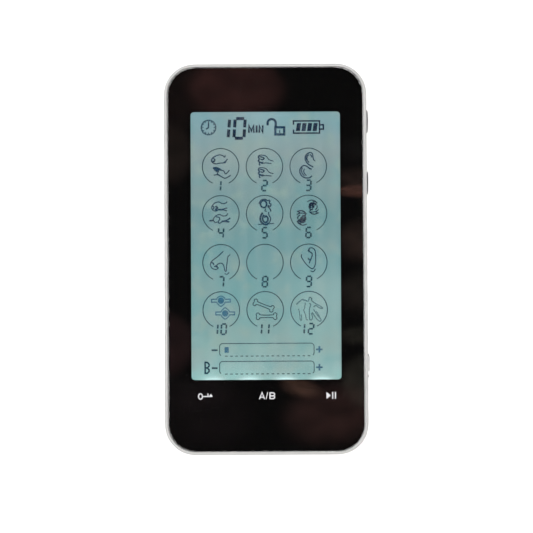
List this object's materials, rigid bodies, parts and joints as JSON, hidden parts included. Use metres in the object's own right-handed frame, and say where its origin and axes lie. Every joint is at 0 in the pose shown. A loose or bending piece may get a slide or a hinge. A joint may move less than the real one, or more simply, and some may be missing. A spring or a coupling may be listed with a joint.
{
  "type": "touch screen nerve stimulator",
  "caption": "Slim pocket nerve and muscle stimulator with a full-face touch screen, a rounded pale case, side output sockets, a slide power switch and a charging socket.",
  "frame": {"origin": "middle of the flat rear face, which the unit lies on", "axes": "+Z out of the screen, +Y to the top of the screen, +X to the side with the output sockets"},
  "size_m": [0.0606, 0.115, 0.0126],
  "materials": {
    "case_plastic": "satin light grey moulding",
    "black_plastic": "black moulding",
    "white_plastic": "white moulding",
    "knob_plastic": "pale silver moulding",
    "cover_glass": "clear hardened cover glass, black behind it",
    "display_glass": "clear thin glass",
    "touch_glass": "clear glass with a faint conductive coating",
    "mask_ink": "opaque black printed film",
    "polariser_film": "smooth grey-green film",
    "light_guide_acrylic": "clear acrylic with a fine dot pattern",
    "reflector_film": "white film",
    "foam_tape": "black foam tape",
    "flex_circuit": "amber polyimide film",
    "elastomer": "soft striped connector strip",
    "circuit_board": "green solder mask over copper",
    "chip_epoxy": "moulded epoxy",
    "lamp_package": "white lamp package with a pale lens",
    "plated_steel": "nickel plate",
    "screw_steel": "zinc plate",
    "spring_brass": "sprung contact metal",
    "can_aluminium": "drawn can",
    "ferrite": "pressed ferrite",
    "battery_pouch": "laminated pouch foil",
    "red_insulation": "soft insulation",
    "black_insulation": "soft insulation",
    "label_film": "blank silver-grey film"
  },
  "bodies": {
    "case": {"front_frame": "case_plastic", "rear_cover": "case_plastic", "rating_label": "label_film", "touch_lens": "cover_glass", "mask_film": "mask_ink", "touch_sensor": "touch_glass", "lens_tape": "foam_tape", "touch_flex": "flex_circuit", "flex_connector": "white_plastic", "touch_controller": "chip_epoxy", "lcd_gasket": "foam_tape", "lcd_front_polariser": "polariser_film", "lcd_front_glass": "display_glass", "lcd_rear_glass": "display_glass", "lcd_rear_polariser": "polariser_film", "light_guide": "light_guide_acrylic", "reflector_sheet": "reflector_film", "lcd_zebra_strip": "elastomer", "led_strip": "circuit_board", "backlight_led_1": "lamp_package", "backlight_led_2": "lamp_package", "lcd_holder": "white_plastic", "main_board": "circuit_board", "microcontroller": "chip_epoxy", "crystal": "plated_steel", "boost_inductor": "ferrite", "output_capacitor": "can_aluminium", "channel_a_driver": "chip_epoxy", "channel_b_driver": "chip_epoxy", "charge_controller": "chip_epoxy", "buzzer": "black_plastic", "battery_cell": "battery_pouch", "battery_tape": "foam_tape", "battery_protection_board": "circuit_board", "battery_lead_red": "red_insulation", "battery_lead_black": "black_insulation", "battery_plug": "white_plastic", "battery_header": "white_plastic", "switch_insert": "black_plastic", "switch_can": "plated_steel", "switch_base": "black_plastic", "usb_shell": "plated_steel", "usb_insulator": "black_plastic", "case_screw_1": "screw_steel", "case_screw_2": "screw_steel", "case_screw_3": "screw_steel", "case_screw_4": "screw_steel", "board_screw_1": "screw_steel", "board_screw_2": "screw_steel", "board_screw_3": "screw_steel", "jack_a_insert": "black_plastic", "jack_a_bushing": "plated_steel", "jack_a_housing": "black_plastic", "jack_b_insert": "black_plastic", "jack_b_bushing": "plated_steel", "jack_b_housing": "black_plastic"},
    "power_switch": {"power_knob": "knob_plastic", "switch_actuator": "black_plastic"},
    "tip_contact_a": {"jack_a_tip_spring": "spring_brass"},
    "tip_contact_b": {"jack_b_tip_spring": "spring_brass"}
  },
  "joints": [
    {"name": "power_slide", "type": "slide", "parent": "case", "child": "power_switch", "axis": [0, 1, 0], "range_m": [-0.0013, 0]},
    {"name": "tip_contact_a_flex", "type": "hinge", "parent": "case", "child": "tip_contact_a", "pos_m": [0.02525, 0.04295, 0.0046], "axis": [0, 0, -1], "range_deg": [0, 3], "stiffness_Nm_per_rad": 0.03},
    {"name": "tip_contact_b_flex", "type": "hinge", "parent": "case", "child": "tip_contact_b", "pos_m": [0.02525, 0.02465, 0.0046], "axis": [0, 0, -1], "range_deg": [0, 3], "stiffness_Nm_per_rad": 0.03}
  ]
}
